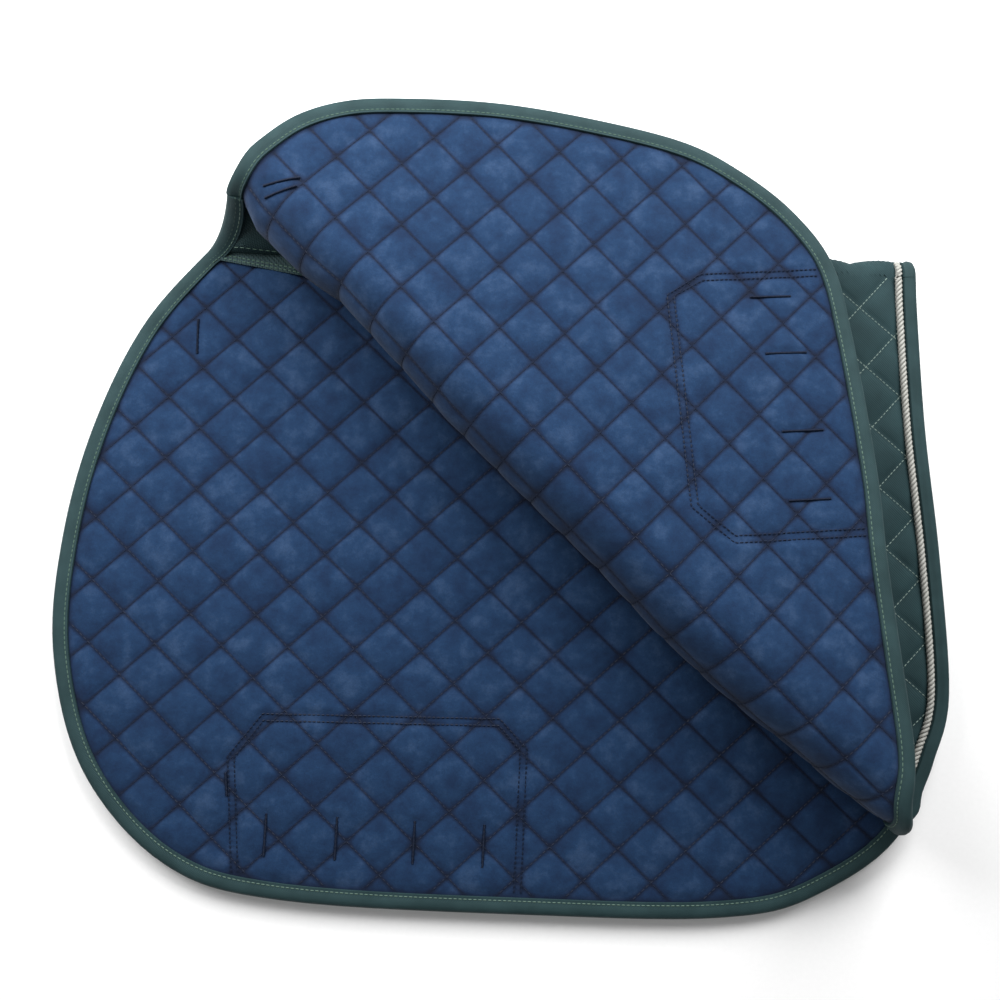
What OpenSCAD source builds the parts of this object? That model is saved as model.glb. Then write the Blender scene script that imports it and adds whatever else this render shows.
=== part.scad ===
// Quilted saddle pad, folded in half along its spine, with the front corner of the
// upper flap turned back over a soft roll. X runs along the spine from front to rear,
// -Y runs down the flaps and +Z is up. The origin is under the middle of the pad.

/* [Layers] */
// Thickness of the outer fabric panel
outer_t = 1.2; // [0.8:0.1:2]
// Thickness of the wadding between the panels
wadding_t = 7; // [5:0.5:9]
// Thickness of the velour lining panel
lining_t = 1.8; // [1:0.1:3]
// Clear gap between the two flaps at rest
flap_gap = 0.6; // [0.4:0.1:1.5]

/* [Edge] */
// Width of the folded edge binding
binding_w = 13; // [8:1:18]
// Height of the edge binding beyond the outer panel
binding_proud = 3; // [3:0.5:5]
// Thickness of the binding fabric
binding_t = 1.2; // [0.8:0.1:2]
// Diameter of the twisted trim cord
cord_d = 5.6; // [4:0.2:6]
// Distance from the pad's edge to the middle of the trim cord
cord_inset = 17; // [16:1:22]

/* [Fold] */
// Angle between the spine and the turned corner's crease
crease_angle = 41.7; // [38:0.1:45]
// Radius of the crease roll at the middle of the wadding
roll_r = 33.7; // [28:0.1:38]
// Distance from the front end of the spine to the roll's axis, across the crease
roll_offset = 53.7; // [50:0.1:60]
// Slope of the turned corner beyond the roll
corner_slope = 9.8; // [8:0.1:12]

/* [Girth fittings] */
// Thickness of the girth patch
patch_t = 1; // [0.8:0.1:1.2]
// Thickness of the girth webbing
webbing_t = 1.2; // [1:0.1:1.4]
// Width of the girth webbing
webbing_w = 30; // [20:1:35]
// Width of the billet strap
strap_w = 26; // [20:1:30]
// Length of the billet strap
strap_len = 110; // [80:5:130]

/* [Hidden] */

navy = "midnightblue";
green = "darkslategray";
silver = "silver";

// Where the front end of the spine lies, measured from the middle of the pad's footprint
spine_front = [-228.5, 203.0];

pad_t = outer_t + wadding_t + lining_t;
near_z = binding_proud;                          // underside of the near flap
far_z = near_z + pad_t + flap_gap;               // underside of the far flap
spine_r = pad_t + flap_gap / 2;                  // outer radius of the spine fold
clear = 0.4;                                     // gap between pieces of different bodies
big = 2000;

spine_x0 = -4;                                   // stations of the spine fold's own pieces
spine_x1 = spine_x0 + binding_w;
spine_x3 = 529;
spine_x2 = spine_x3 - binding_w;

spine_top = near_z + 2 * spine_r;                // the roll's ends slant only above the fold
roll_z = far_z + pad_t / 2 + roll_r;             // height of the roll's axis
roll_end = 180 + corner_slope;                   // angle that the roll turns through
corner_h = roll_offset + roll_r * sin(corner_slope);
corner_z = roll_z + roll_r * cos(corner_slope);

// Edge of a flap, from the front end of the spine round to its rear end
FLAP_EDGE = [
    [24, 30], [0, 0], [-52, -67], [-85, -147], [-102, -233], [-102, -322], [-72, -409],
    [-6, -473], [82, -494], [272, -495], [402, -490], [470, -471], [535, -418],
    [560, -320], [552, -221], [540, -126], [533, -40], [528, 12]
];
// Edge of the turned corner, along the crease and away from the roll
CORNER_EDGE = [
    [8, -30], [3, 0], [6, 35], [20, 68], [45, 100], [94, 150], [150, 194], [209, 232],
    [255, 247], [303, 252], [351, 245], [400, 215], [478, 152], [525, 108], [574, 60],
    [615, 18], [636, -9], [650, -28]
];
// Girth patch on a flap, as distances along the spine and down the flap
PATCH = [[35, 392], [58, 360], [233, 355], [254, 376], [254, 481], [40, 478]];
// Girth patch on the turned corner, along the crease and away from the roll
CORNER_PATCH = [[282, 132], [288, 162], [344, 228], [497, 103], [435, 33], [397, 30]];
TACKS = [66, 118, 175, 226];                     // bar tacks along the spine
TACK_TOP = 432;                                  // where the bar tacks start, down the flap
CORNER_TACKS = [[325, 176], [361, 152], [407, 117], [443, 83]];

// Stations along the crease where the flap's edge crosses the roll, at its foot and at its top
FRONT_EDGE = [78, 3];
REAR_EDGE = [678, 629];

function catmull(a, b, c, d, t) =
    0.5 * (2 * b + (c - a) * t + (2 * a - 5 * b + 4 * c - d) * t * t
        + (3 * b - a - 3 * c + d) * t * t * t);

// A smooth open curve through the inner points of a list
function curve(pts, steps) = [
    for (i = [1 : len(pts) - 3])
        for (k = [0 : steps - 1])
            catmull(pts[i - 1], pts[i], pts[i + 1], pts[i + 2], k / steps),
    pts[len(pts) - 2]
];
function with_ends(pts) = concat(
    [2 * pts[0] - pts[1]], pts, [2 * pts[len(pts) - 1] - pts[len(pts) - 2]]);
function unit(v) = v / norm(v);
function tangent(pts, i) = unit(pts[min(i + 1, len(pts) - 1)] - pts[max(i - 1, 0)]);

// The same open curve moved sideways; a positive distance moves it to its left
function shifted(pts, d) = [
    for (i = [0 : len(pts) - 1])
        let (t = tangent(pts, i)) pts[i] + d * [-t[1], t[0]]
];

inside_cord = cord_inset + cord_d / 2 + clear;   // how far the girth patches stop from the edge
flap_curve = curve(with_ends(FLAP_EDGE), 5);
corner_curve = curve(with_ends(CORNER_EDGE), 5);

// A round tube along a route, closed at both ends
module tube(route, d, sides = 8) {
    n = len(route);
    points = [
        for (i = [0 : n - 1])
            let (t = tangent(route, i), side = unit(cross([0, 0.02, 1], t)), up = cross(t, side))
                for (k = [0 : sides - 1])
                    route[i] + d / 2 * (cos(360 * k / sides) * side + sin(360 * k / sides) * up)
    ];
    walls = [
        for (i = [0 : n - 2])
            for (k = [0 : sides - 1])
                let (a = i * sides + k, b = i * sides + (k + 1) % sides)
                    each [[a, b, a + sides], [b, b + sides, a + sides]]
    ];
    caps = [
        [for (k = [sides - 1 : -1 : 0]) k],
        [for (k = [0 : sides - 1]) (n - 1) * sides + k]
    ];
    polyhedron(points, concat(walls, caps));
}

module at_spine_front() {
    translate([spine_front[0], spine_front[1], 0]) children();
}

// The frame of the crease: X along it, Y across it and away from the near flap's corner
module crease_frame() {
    at_spine_front() rotate([0, 0, -crease_angle]) children();
}

// The frame of the turned corner: X along the crease, Y away from the roll, Z out of the lining
module corner_frame() {
    crease_frame() translate([0, corner_h, corner_z]) rotate([-corner_slope, 0, 0]) children();
}

// The outline of a flap with its edge moved in, running on past the spine fold
module flap_outline(inset) {
    polygon(shifted(flap_curve, inset));
}

// The outline of the turned corner with its edge moved in, running on into the roll
module corner_outline(inset) {
    polygon(shifted(corner_curve, -inset));
}

// The side of the spine fold that the flaps lie on
module below_spine() {
    translate([-big / 2, -big - spine_r]) square(big);
}

// The part of the far flap that lies flat, up to where the crease roll starts
module beyond_roll() {
    intersection() {
        below_spine();
        rotate(-crease_angle) translate([-big / 2, roll_offset]) square(big);
    }
}

module flap_shape(inset) {
    intersection() {
        flap_outline(inset);
        below_spine();
    }
}

module far_shape(inset) {
    intersection() {
        flap_outline(inset);
        beyond_roll();
    }
}

module corner_shape(inset) {
    intersection() {
        corner_outline(inset);
        translate([-big / 2, 0]) square(big);
    }
}

module layer(z, t) {
    translate([0, 0, z]) linear_extrude(t) children();
}

// A binding strip folded round the edge: its whole shape, its slot, and what it leaves open
module binding_section(z) {
    t = pad_t + binding_proud;
    difference() {
        layer(z, t) children(0);
        layer(z + binding_t, t - 2 * binding_t) children(1);
        layer(z - 1, t + 2) children(2);
    }
}

// ---- near flap ----
module near_outer_panel() {
    color(green) at_spine_front() layer(near_z, outer_t) flap_shape(binding_w);
}

module near_wadding() {
    color("white") at_spine_front()
        layer(near_z + outer_t, wadding_t) flap_shape(binding_t + clear);
}

module near_lining_panel() {
    color(navy) at_spine_front()
        layer(near_z + outer_t + wadding_t, lining_t) flap_shape(binding_w);
}

module near_edge_binding() {
    color(green) at_spine_front() binding_section(0) {
        flap_shape(0);
        flap_outline(binding_t);
        flap_outline(binding_w);
    }
}

module near_trim_cord() {
    route = [
        for (p = shifted(flap_curve, cord_inset))
            if (p[1] < -spine_r - 4) [p[0], p[1], cord_d / 2 + 0.2]
    ];
    color(silver) at_spine_front() tube(route, cord_d);
}

module near_girth_patch() {
    color(green) at_spine_front() layer(near_z - patch_t, patch_t) intersection() {
        polygon([for (p = PATCH) [p[0], -p[1]]]);
        flap_shape(inside_cord);
    }
}

module near_girth_webbing() {
    color(green) at_spine_front()
        translate([TACKS[0] - 22, -TACK_TOP - webbing_w, near_z - patch_t - webbing_t])
            cube([TACKS[3] - TACKS[0] + 40, webbing_w, webbing_t]);
}

module near_billet_strap() {
    color(green) at_spine_front() translate([-14, -66 - strap_w, near_z - 1.6])
        cube([strap_len, strap_w, 1.6]);
}

module near_bar_tacks() {
    z = near_z + pad_t;
    color(navy) at_spine_front() {
        for (x = TACKS)
            translate([x, -TACK_TOP - webbing_w, z]) cube([1.6, webbing_w, 0.3]);
        translate([-14, -92, z]) cube([1.6, strap_w, 0.3]);
    }
}

// ---- spine fold ----
// Half of a ring around the spine's fold line, between two radii and two stations
module spine_ring(r_in, r_out, x0, x1) {
    at_spine_front() translate([x0, -spine_r, near_z + spine_r]) rotate([90, 0, 90])
        linear_extrude(x1 - x0) intersection() {
            difference() {
                circle(r_out, $fn = 64);
                circle(r_in, $fn = 48);
            }
            translate([clear, -big / 2]) square(big);
        }
}

module spine_outer_strip() {
    color(green) spine_ring(spine_r - outer_t, spine_r, spine_x1, spine_x2);
}

module spine_wadding() {
    color("white") spine_ring(flap_gap / 2 + lining_t, spine_r - outer_t, spine_x1, spine_x2);
}

module spine_tape() {
    color(green) spine_ring(flap_gap / 2, flap_gap / 2 + lining_t, spine_x1, spine_x2);
}

module spine_binding_front() {
    color(green) spine_ring(flap_gap / 2, spine_r, spine_x0, spine_x1);
}

module spine_binding_rear() {
    color(green) spine_ring(flap_gap / 2, spine_r, spine_x2, spine_x3);
}

// ---- far flap ----
module far_outer_panel() {
    color(green) at_spine_front() layer(far_z + lining_t + wadding_t, outer_t) far_shape(binding_w);
}

module far_wadding() {
    color("white") at_spine_front()
        layer(far_z + lining_t, wadding_t) far_shape(binding_t + clear);
}

module far_lining_panel() {
    color(navy) at_spine_front() layer(far_z, lining_t) far_shape(binding_w);
}

module far_edge_binding() {
    color(green) at_spine_front() binding_section(far_z) {
        far_shape(0);
        flap_outline(binding_t);
        flap_outline(binding_w);
    }
}

// Distance of a point on the flap from the spine's front end, across the crease
function across(p) = p[0] * sin(crease_angle) + p[1] * cos(crease_angle);

module far_trim_cord() {
    route = [
        for (p = shifted(flap_curve, cord_inset))
            if (p[1] < -spine_r - 4 && p[0] > 300 && across(p) > roll_offset + 2)
                [p[0], p[1], far_z + pad_t + 0.2]
    ];
    color(silver) at_spine_front() tube(route, cord_d);
}

// ---- crease roll ----
// Part of a tube around the roll's axis, between two radii and two slanted ends
module roll_shell(r_in, r_out, front, rear) {
    crease_frame() intersection() {
        translate([0, roll_offset, roll_z]) rotate([90, 0, 90]) linear_extrude(REAR_EDGE[0])
            intersection() {
                difference() {
                    circle(r_out, $fn = 96);
                    circle(r_in, $fn = 96);
                }
                translate([-clear, 0]) polygon([
                    [0, 0], [0, -big], [-big, -big], [-big, big],
                    [big * sin(corner_slope), big * cos(corner_slope)]
                ]);
            }
        rotate([90, 0, 0]) linear_extrude(big, center = true) polygon([
            [front[0], 0], [front[0], spine_top], [front[1], corner_z], [front[1], big],
            [rear[1], big], [rear[1], corner_z], [rear[0], spine_top], [rear[0], 0]
        ]);
    }
}

roll_in = roll_r - pad_t / 2;                    // the outer panel is on the inside of the roll
roll_out = roll_r + pad_t / 2;
trim = [binding_w, binding_w];

module roll_outer_panel() {
    color(green) roll_shell(roll_in, roll_in + outer_t, FRONT_EDGE + trim, REAR_EDGE - trim);
}

module roll_wadding() {
    color("white") roll_shell(roll_in + outer_t, roll_out - lining_t, FRONT_EDGE + trim,
        REAR_EDGE - trim);
}

module roll_lining_panel() {
    color(navy) roll_shell(roll_out - lining_t, roll_out, FRONT_EDGE + trim, REAR_EDGE - trim);
}

module roll_binding_front() {
    color(green) roll_shell(roll_in - binding_proud, roll_out, FRONT_EDGE, FRONT_EDGE + trim);
}

module roll_binding_rear() {
    color(green) roll_shell(roll_in - binding_proud, roll_out, REAR_EDGE - trim, REAR_EDGE);
}

module roll_billet_strap() {
    turn = strap_len / roll_in * 180 / PI;
    color(green) crease_frame() translate([105, roll_offset, roll_z]) rotate([90, 0, 90])
        linear_extrude(strap_w) intersection() {
            difference() {
                circle(roll_in - 0.1, $fn = 72);
                circle(roll_in - 1.7, $fn = 72);
            }
            polygon([
                [0, 0], [0, big], [-big, big], [-big, -big], [0, -big],
                [big * sin(180 - turn), -big * cos(180 - turn)]
            ]);
        }
}

// ---- turned corner ----
module corner_outer_panel() {
    color(green) corner_frame() layer(-pad_t / 2, outer_t) corner_shape(binding_w);
}

module corner_wadding() {
    color("white") corner_frame()
        layer(outer_t - pad_t / 2, wadding_t) corner_shape(binding_t + clear);
}

module corner_lining_panel() {
    color(navy) corner_frame() layer(pad_t / 2 - lining_t, lining_t) corner_shape(binding_w);
}

module corner_edge_binding() {
    color(green) corner_frame() binding_section(-pad_t / 2 - binding_proud) {
        corner_shape(0);
        corner_outline(binding_t);
        corner_outline(binding_w);
    }
}

module corner_trim_cord() {
    route = [
        for (p = shifted(corner_curve, -cord_inset))
            if (p[1] > 4) [p[0], p[1], -pad_t / 2 - 0.2]
    ];
    color(silver) corner_frame() tube(route, cord_d);
}

module corner_girth_patch() {
    color(green) corner_frame() layer(-pad_t / 2 - patch_t, patch_t) intersection() {
        polygon(CORNER_PATCH);
        corner_shape(inside_cord);
    }
}

module corner_girth_webbing() {
    color(green) corner_frame() translate([324, 180, -pad_t / 2 - patch_t - webbing_t])
        rotate([0, 0, -crease_angle]) cube([175, webbing_w, webbing_t]);
}

module corner_bar_tacks() {
    color(navy) corner_frame() for (p = CORNER_TACKS)
        translate([p[0], p[1], pad_t / 2]) rotate([0, 0, 90 - crease_angle])
            cube([webbing_w, 1.6, 0.3]);
}

near_outer_panel();
near_wadding();
near_lining_panel();
near_edge_binding();
near_trim_cord();
near_girth_patch();
near_girth_webbing();
near_billet_strap();
near_bar_tacks();
spine_outer_strip();
spine_wadding();
spine_tape();
spine_binding_front();
spine_binding_rear();
far_outer_panel();
far_wadding();
far_lining_panel();
far_edge_binding();
far_trim_cord();
roll_outer_panel();
roll_wadding();
roll_lining_panel();
roll_binding_front();
roll_binding_rear();
roll_billet_strap();
corner_outer_panel();
corner_wadding();
corner_lining_panel();
corner_edge_binding();
corner_trim_cord();
corner_girth_patch();
corner_girth_webbing();
corner_bar_tacks();
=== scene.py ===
"""A quilted saddle pad folded at its spine, with a corner of the upper flap turned back.

Lengths are in millimetres until a mesh is made. Two flat coordinate systems are used:
the near flap's (x back along the spine, y up from it), and the upper flap's developed one
(s along the crease, q across it), which runs on flat, round the roll and up the corner.
In both, n is the height above the middle of the padding, on the lining's side.
"""

import math

import bmesh
import bpy
import numpy as np
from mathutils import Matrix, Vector


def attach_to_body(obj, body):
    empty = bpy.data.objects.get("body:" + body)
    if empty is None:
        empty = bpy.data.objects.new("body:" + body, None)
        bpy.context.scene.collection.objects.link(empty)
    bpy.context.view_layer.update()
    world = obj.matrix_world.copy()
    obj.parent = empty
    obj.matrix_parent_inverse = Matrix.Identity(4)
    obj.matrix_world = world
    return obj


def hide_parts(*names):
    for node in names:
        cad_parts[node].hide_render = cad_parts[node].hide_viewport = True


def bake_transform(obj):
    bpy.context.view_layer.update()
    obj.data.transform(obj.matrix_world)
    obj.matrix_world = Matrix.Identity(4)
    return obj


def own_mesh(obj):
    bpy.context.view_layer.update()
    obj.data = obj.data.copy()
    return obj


MM = 0.001
SPINE_FRONT = np.array([-228.5, 203.0])
CREASE = math.radians(41.7)
ALONG = np.array([math.cos(CREASE), -math.sin(CREASE)])
ACROSS = np.array([math.sin(CREASE), math.cos(CREASE)])
ROLL_R, ROLL_H, ROLL_Z = 33.7, 53.7, 52.3
SLOPE = math.radians(9.8)
TURN = math.pi + SLOPE
ARC = ROLL_R * TURN
MID_Q = ARC / 2
NEAR_MID, FAR_MID = 8.0, 18.6
FOLD_Y, FOLD_Z, FOLD_MID_R = -10.3, 13.3, 5.3
FOLD_HALF = FOLD_MID_R * math.pi / 2
# The notch's tape: its length up, its stations along the crease and how steeply its foot rises
NOTCH_RISE, NOTCH_START, NOTCH_END, NOTCH_STEP = 60.0, 11.0, 78.0, 19.0
NOTCH_FOOT_Z, NOTCH_FOOT_H = 14.4, -3.0
SPINE_START, SPINE_END, SPINE_REAR = 17.0, 529.0, 531.5
BINDING_W, BACK_BINDING_W, BINDING_FACES = 13.0, 10.6, (5, -8)
BINDING_SEAM = BINDING_W - 2.3
FRONT_FACES, REAR_CORD_N = (5, -5.2), -5.6
# The fold's outer cloth: its lap below and above the fold, and the scallops along its top
FOLD_LAP, FOLD_OVER = 4.0, 1.5
SCALLOP, SCALLOP_RUN, SCALLOP_START, LOWER_SUNK = 1.4, 48.0, 3.0, 0.1
FOLD_SWELL, FOLD_GATHER = 0.32, 0.9
TAPE_REACH, TAPE_LAP, TAPE_N = -9.9, 2.0, 5.7
CORD_D, CORD_INSET, CORD_N, CORD_PITCH = 5.6, 14.0, -5.2, 10.5
# Height of the cloth at its stitch lines, and how far a cell's crown stands above them
GROOVE, CROWN = 2.3, 2.9
CLOTH_BASE, CLOTH_EDGE, PADDING = 0.2, 7.0, 0.6
PATCH_FACES, STRAP_FACES, WEBBING_FACES = (-6, -5), (-6.6, -5), (-7.2, -6)
SHARP = math.radians(65)
CELL_STEPS = 12
# Each kind of stitch has a spacing, a length and a width
QUILT_STITCH, OUTER_STITCH = (4.2, 2.9, 0.7), (3.2, 2.2, 0.62)
PALE_STITCH, PATCH_STITCH, TACK_STITCH = (3.6, 2.6, 0.8), (3.4, 2.5, 0.9), (0.9, 0.8, 2.0)

# Each lattice has an origin, its two sides and how far it drifts beyond the roll
NEAR_LATTICE = (np.array([-1.8, -289.0]), np.array([25.3, -22.7]), np.array([24.3, 23.8]), 0.0)
FAR_LATTICE = (np.array([82.6, 32.9 + ARC]), np.array([33.55, -1.43]), np.array([0.75, 31.5]), 12.9)
DRIFT_RUN = 120.0

FLAP_EDGE = [
    (24, 30), (0, 0), (-52, -67), (-85, -147), (-102, -233), (-102, -322), (-72, -409),
    (-6, -473), (82, -494), (272, -495), (402, -490), (470, -471), (535, -418),
    (560, -320), (552, -221), (540, -126), (533, -40), (528, 12),
]
CORNER_EDGE = [
    (3, 0), (6, 35), (20, 68), (45, 100), (94, 150), (150, 194), (209, 232), (255, 247),
    (303, 252), (350, 243), (397, 211), (474, 147), (520, 103), (571, 57), (614.5, 17.5),
]
REAR_TURN = [(636, 102), (650, 84), (660, 55), (668, 28), (672, 0), (664, -15), (655, -37)]
NEAR_PATCH = [(43, -474), (34.5, -392), (58, -360), (233.5, -355), (254.5, -376), (255, -478)]
CORNER_PATCH = [(344, 228), (288, 162), (282, 132), (397, 30), (435, 33), (497, 103)]
NEAR_TACKS = [((x, -432), (x, -462)) for x in (66, 118, 175, 226)]
NEAR_TACKS += [((-12, -66), (-11, -92)), ((34, -404), (36, -420))]
CORNER_TACKS, TACK_RUN = [(325, 176), (361, 152), (407, 117), (443, 83)], (19.9, 22.4)
FRONT_TACKS = [((30, -17), (44, 4)), ((36, -22), (47, -2))]
NEAR_WEBBING = [(44, -462), (244, -462), (244, -432), (44, -432)]
NEAR_STRAP = [(-14, -92), (96, -92), (96, -66), (-14, -66)]
CORNER_WEBBING, CORNER_STRAP = (324, 180), (30, -17)
WEBBING_LENGTH, WEBBING_WIDTH, STRAP_WIDTH, STRAP_CUT = 175.0, 30.0, 26.0, 22.0
# How far the roll's side stands in from a true circle, by station along the crease
ROLL_BOW = [
    (2, 0), (14, 9), (23, 7), (36, 2), (81, 2), (114, 8), (194, 4), (230, 1), (288, 0), (384, 0),
    (443, -3), (491, -2), (532, 1), (564, 5), (607, 8), (634, 12), (651, 15),
]
# No two quilted cells are filled alike
BULGE = 1 - 0.3 * np.random.default_rng(7).random((64, 64))


# ---------------------------------------------------------------- curves and places
def smooth(points, steps=8):
    """A Catmull-Rom curve through the points, ends included."""
    p = np.array(points, float)
    p = np.vstack([2 * p[0] - p[1], p, 2 * p[-1] - p[-2]])
    t = (np.arange(steps) / steps)[:, None]
    parts = []
    for a, b, c, d in zip(p, p[1:], p[2:], p[3:]):
        parts.append(0.5 * (2 * b + (c - a) * t + (2 * a - 5 * b + 4 * c - d) * t**2
                            + (3 * b - a - 3 * c + d) * t**3))
    return np.vstack(parts + [p[-2:-1]])


def resample(path, step):
    """The same line with points about step apart."""
    length = np.concatenate([[0], np.cumsum(np.linalg.norm(np.diff(path, axis=0), axis=1))])
    at = np.linspace(0, length[-1], max(2, int(round(length[-1] / step)) + 1))
    return np.stack([np.interp(at, length, path[:, k]) for k in range(path.shape[1])], axis=1)


def tangents(path):
    """Unit directions along a line."""
    t = np.gradient(path, axis=0)
    return t / np.maximum(np.linalg.norm(t, axis=1, keepdims=True), 1e-9)


def inward(path, distance):
    """A flat line moved to its left."""
    t = tangents(path)
    return path + distance * np.stack([-t[:, 1], t[:, 0]], axis=1)


def round_fold(xy, z, n, side):
    """Carries points past the fold line round the spine; side is -1 for the near flap."""
    past = np.maximum(xy[..., 1] - FOLD_Y, 0)
    turn = side * (math.pi / 2 - past / FOLD_MID_R)
    radius = FOLD_MID_R - n
    bent = past > 0
    y = np.where(bent, FOLD_Y + radius * np.cos(turn), xy[..., 1])
    z = np.where(bent, FOLD_Z + radius * np.sin(turn), z)
    return np.stack([xy[..., 0] + SPINE_FRONT[0], y + SPINE_FRONT[1], z], axis=-1)


def near_place(p, n):
    """A point of the near flap, n above its middle."""
    n = np.broadcast_to(n, p.shape[:-1])
    return round_fold(p, NEAR_MID + n, n, -1)


def from_crease(s, h, z):
    """The place s along the crease and h across it from the spine's front end, z high."""
    xy = s[..., None] * ALONG + h[..., None] * ACROSS + SPINE_FRONT
    return np.concatenate([xy, z[..., None]], axis=-1)


def roll_bow(s, phi):
    """How far the roll's cloth stands in from a true circle, phi round it."""
    stations, bow = np.array(ROLL_BOW, float).T
    return np.interp(s, stations, bow) * np.sin(np.clip(phi, 0, math.pi)) ** 2


def far_place(p, n):
    """A point of the upper flap, n out of its middle on the lining's side."""
    s, q = p[..., 0], p[..., 1]
    n = np.broadcast_to(n, s.shape)
    phi = np.clip(q / ROLL_R, 0, TURN)
    up = np.maximum(q - ARC, 0)
    h = ROLL_H - (ROLL_R + n) * np.sin(phi) + up * math.cos(SLOPE) + roll_bow(s, phi)
    z = ROLL_Z - (ROLL_R + n) * np.cos(phi) - up * math.sin(SLOPE)
    flat = fold_far_place(p, n)
    return np.where((q < 0)[..., None], flat, from_crease(s, h, z))


def fold_far_place(p, n):
    """The same for the flat part of the upper flap and the spine fold that it runs into."""
    n = np.broadcast_to(n, p.shape[:-1])
    xy = p[..., :1] * ALONG + (ROLL_H - p[..., 1:]) * ACROSS
    return round_fold(xy, FAR_MID - n, n, 1)


def notch_place(p, n):
    """A point of the tape that rises from the fold to the roll at the pad's front end."""
    s, share = p[..., 0], (p[..., 1] / NOTCH_RISE)[..., None]
    foot = foot_h(s)
    phi = np.clip((ROLL_H - foot) / ROLL_R, 0, TURN)
    top = np.stack([ROLL_H - ROLL_R * np.sin(phi) + roll_bow(s, phi),
                    ROLL_Z - ROLL_R * np.cos(phi)], axis=-1)
    low = np.stack([foot + NOTCH_FOOT_H, np.full_like(foot, NOTCH_FOOT_Z)], axis=-1)
    reach = np.linalg.norm(top - low, axis=-1, keepdims=True) / 3
    rise = np.stack([-np.cos(phi), np.sin(phi)], axis=-1)
    climb = NOTCH_STEP * ((1 - s / NOTCH_END) * step(s, 8, 26))[..., None] * np.array([0.0, 1.0])
    one, two = low + climb + [0.5, 0.0], top - 0.8 * reach * rise
    at = ((1 - share) ** 3 * low + 3 * (1 - share) ** 2 * share * one
          + 3 * (1 - share) * share**2 * two + share**3 * top)
    slope = ((1 - share) ** 2 * (one - low) + 2 * (1 - share) * share * (two - one)
             + share**2 * (top - two))
    slope /= np.maximum(np.linalg.norm(slope, axis=-1, keepdims=True), 1e-9)
    n = np.broadcast_to(n, s.shape)
    return from_crease(s, at[..., 0] - n * slope[..., 1], at[..., 1] + n * slope[..., 0])


def band_place(p, n):
    """The binding's run from the near flap's front end up to the turned corner's.

    The first coordinate is the distance in from the outer edge, the second runs up it.
    """
    share = (p[..., 1] / NOTCH_RISE)[..., None]
    begin, end = near_place(near_edge[0], 0), far_place(upper_edge[-1], 0)
    leave = np.append(-tangents(near_edge)[0], 0)
    phi = upper_edge[-1][1] / ROLL_R
    arrive = np.append(-math.cos(phi) * ACROSS, math.sin(phi))
    one, two = begin + 15 * leave, end - 30 * arrive
    outer = ((1 - share) ** 3 * begin + 3 * (1 - share) ** 2 * share * one
             + 3 * (1 - share) * share**2 * two + share**3 * end)
    climb = ((1 - share) ** 2 * (one - begin) + 2 * (1 - share) * share * (two - one)
             + share**2 * (end - two))
    climb /= np.linalg.norm(climb, axis=-1, keepdims=True)
    first = np.array([leave[1], -leave[0], 0])
    last = (far_place(upper_edge[-1] + [BINDING_W, 0], 0) - end) / BINDING_W
    across = ((1 - share) ** 2 * first + 2 * (1 - share) * share * np.array([1.5, -0.2, 0])
              + share**2 * last)
    out = np.cross(across, climb)
    out /= np.linalg.norm(out, axis=-1, keepdims=True)
    n = np.broadcast_to(n, p.shape[:-1])
    return outer + p[..., :1] * across + n[..., None] * out


def to_developed(p):
    """Flat points of the upper flap, given in the near flap's system."""
    p = np.array(p, float)
    return np.stack([p @ ALONG, ROLL_H - p @ ACROSS], axis=1)


def foot_h(s):
    """Where the spine's fold line crosses station s of the crease."""
    return (FOLD_Y - s * ALONG[1]) / ACROSS[1]


flap_curve = smooth(FLAP_EDGE)
near_edge = resample(flap_curve[flap_curve[:, 1] < FOLD_Y + 1], 6)
rear_flat = to_developed([*FLAP_EDGE[13:17], (SPINE_REAR, FOLD_Y)])
corner_edge = [(s, x + ARC) for s, x in CORNER_EDGE]
far_edge = resample(smooth([(4, 67), (5, 88), *corner_edge, *REAR_TURN, *rear_flat]), 5)
far_edge = far_edge[::-1]
split = int(np.argmax((far_edge[:, 0] > 400) & (far_edge[:, 1] > MID_Q)))
lower_edge, upper_edge = far_edge[:split + 1], far_edge[split:]


# ---------------------------------------------------------------- mesh tools
def add_mesh(name, points, faces, material):
    """A smooth-shaded mesh object from points in millimetres."""
    mesh = bpy.data.meshes.new(name)
    mesh.from_pydata((np.asarray(points) * MM).tolist(), [], [list(map(int, f)) for f in faces])
    mesh.validate()
    mesh.polygons.foreach_set("use_smooth", np.ones(len(mesh.polygons), bool))
    mesh.materials.append(material)
    piece = bpy.data.objects.new(name, mesh)
    bpy.context.scene.collection.objects.link(piece)
    return piece


def set_values(piece, name, values):
    """Keeps a number at each point for the materials to read."""
    layer = piece.data.attributes.new(name, "FLOAT", "POINT")
    layer.data.foreach_set("value", np.asarray(values, np.float32))


def inside(points, polygon):
    """Whether each flat point lies in a polygon."""
    x, y = points[:, 0], points[:, 1]
    found = np.zeros(len(points), bool)
    for (x0, y0), (x1, y1) in zip(polygon, np.roll(polygon, -1, axis=0)):
        crosses = (y0 > y) != (y1 > y)
        with np.errstate(divide="ignore", invalid="ignore"):
            found ^= crosses & (x < (x1 - x0) * (y - y0) / (y1 - y0) + x0)
    return found


def distance(points, path):
    """Distance of each flat point from a line."""
    best = np.full(len(points), 1e9)
    for a, b in zip(path, path[1:]):
        d = b - a
        t = np.clip(((points - a) @ d) / max(d @ d, 1e-9), 0, 1)
        best = np.minimum(best, np.linalg.norm(points - a - t[:, None] * d, axis=1))
    return best


def step(x, low, high):
    """A smooth rise from 0 at low to 1 at high."""
    t = np.clip((x - low) / (high - low), 0, 1)
    return t * t * (3 - 2 * t)


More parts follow.
